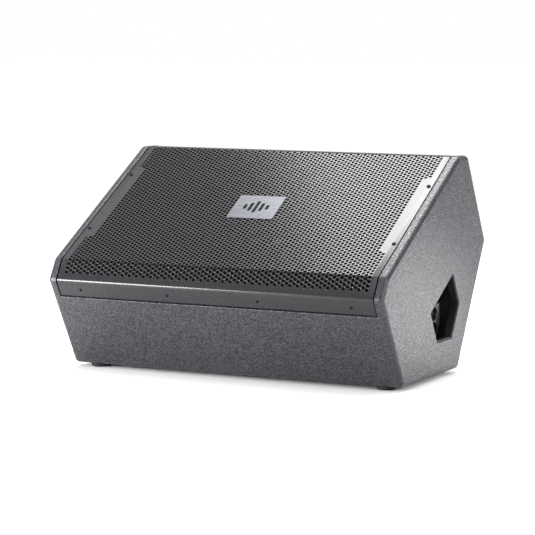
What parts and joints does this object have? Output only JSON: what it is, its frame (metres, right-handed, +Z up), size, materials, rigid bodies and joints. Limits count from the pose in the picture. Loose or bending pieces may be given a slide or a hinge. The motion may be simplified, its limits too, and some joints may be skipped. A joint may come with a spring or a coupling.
{
  "type": "stage monitor wedge",
  "caption": "Floor-standing stage monitor loudspeaker with a folded perforated grille, a woofer and horn behind it, and a handle pocket with an input plate in each end.",
  "frame": {"origin": "on the floor under the middle of the wedge", "axes": "+X to the right seen from the low front edge, +Y towards the high back, +Z up"},
  "size_m": [0.718, 0.5222, 0.4297],
  "materials": {
    "textured_coat": "matte textured coating on plywood",
    "bare_board": "plywood, unfinished",
    "grille_coat": "satin powder coat on perforated steel",
    "foam": "open-cell foam",
    "badge_metal": "satin, brushed",
    "black_screw": "black oxide",
    "rubber": "matte",
    "cast_frame": "cast, black paint",
    "motor_steel": "plated",
    "copper": "enamelled wire",
    "paper_cone": "treated paper pulp",
    "cloth": "treated cloth",
    "black_plastic": "moulded",
    "plate_paint": "satin paint",
    "circuit_board": "laminate",
    "capacitor_film": "film"
  },
  "bodies": {
    "cabinet": {"left_end_panel": "textured_coat", "right_end_panel": "textured_coat", "front_panel": "textured_coat", "rear_upper_panel": "textured_coat", "rear_lower_panel": "textured_coat", "bottom_panel": "textured_coat", "baffle_board": "bare_board", "centre_brace": "bare_board", "grille_cleat_left": "bare_board", "grille_cleat_right": "bare_board", "grille": "grille_coat", "grille_foam": "foam", "badge_plate": "badge_metal", "side_screw_1": "black_screw", "side_screw_2": "black_screw", "side_screw_3": "black_screw", "side_screw_4": "black_screw", "front_lip_screw_1": "black_screw", "front_lip_screw_2": "black_screw", "front_lip_screw_3": "black_screw", "front_lip_screw_4": "black_screw", "rear_lip_screw_1": "black_screw", "rear_lip_screw_2": "black_screw", "rear_lip_screw_3": "black_screw", "rear_lip_screw_4": "black_screw", "foot_left_front": "rubber", "foot_left_rear": "rubber", "foot_right_front": "rubber", "foot_right_rear": "rubber", "woofer_gasket": "rubber", "woofer_lead": "rubber", "driver_lead": "rubber", "woofer_frame": "cast_frame", "woofer_motor": "motor_steel", "compression_driver": "motor_steel", "inductor_1": "copper", "inductor_2": "copper", "surround": "cloth", "spider": "cloth", "horn": "black_plastic", "driver_cap": "black_plastic", "port_tube_front": "black_plastic", "port_tube_rear": "black_plastic", "grille_post_front": "black_plastic", "grille_post_rear": "black_plastic", "handle_cup_left": "black_plastic", "handle_cup_right": "black_plastic", "socket_right_lower": "black_plastic", "socket_right_upper": "black_plastic", "socket_left_lower": "black_plastic", "socket_left_upper": "black_plastic", "mode_switch_housing": "black_plastic", "input_plate_left": "plate_paint", "input_plate_right": "plate_paint", "crossover_board": "circuit_board", "capacitor": "capacitor_film"},
    "cone_assembly": {"woofer_cone": "paper_cone", "dust_cap": "paper_cone", "voice_coil": "copper"},
    "switch_slider": {"mode_switch_slider": "black_plastic"}
  },
  "joints": [
    {"name": "woofer_travel", "type": "slide", "parent": "cabinet", "child": "cone_assembly", "axis": [0, -0.5, 0.866], "range_m": [-0.006, 0.006], "stiffness_N_per_m": 4000, "deforming": ["surround", "spider"]},
    {"name": "mode_switch", "type": "slide", "parent": "cabinet", "child": "switch_slider", "axis": [0, 1, 0], "range_m": [0, 0.006]}
  ]
}
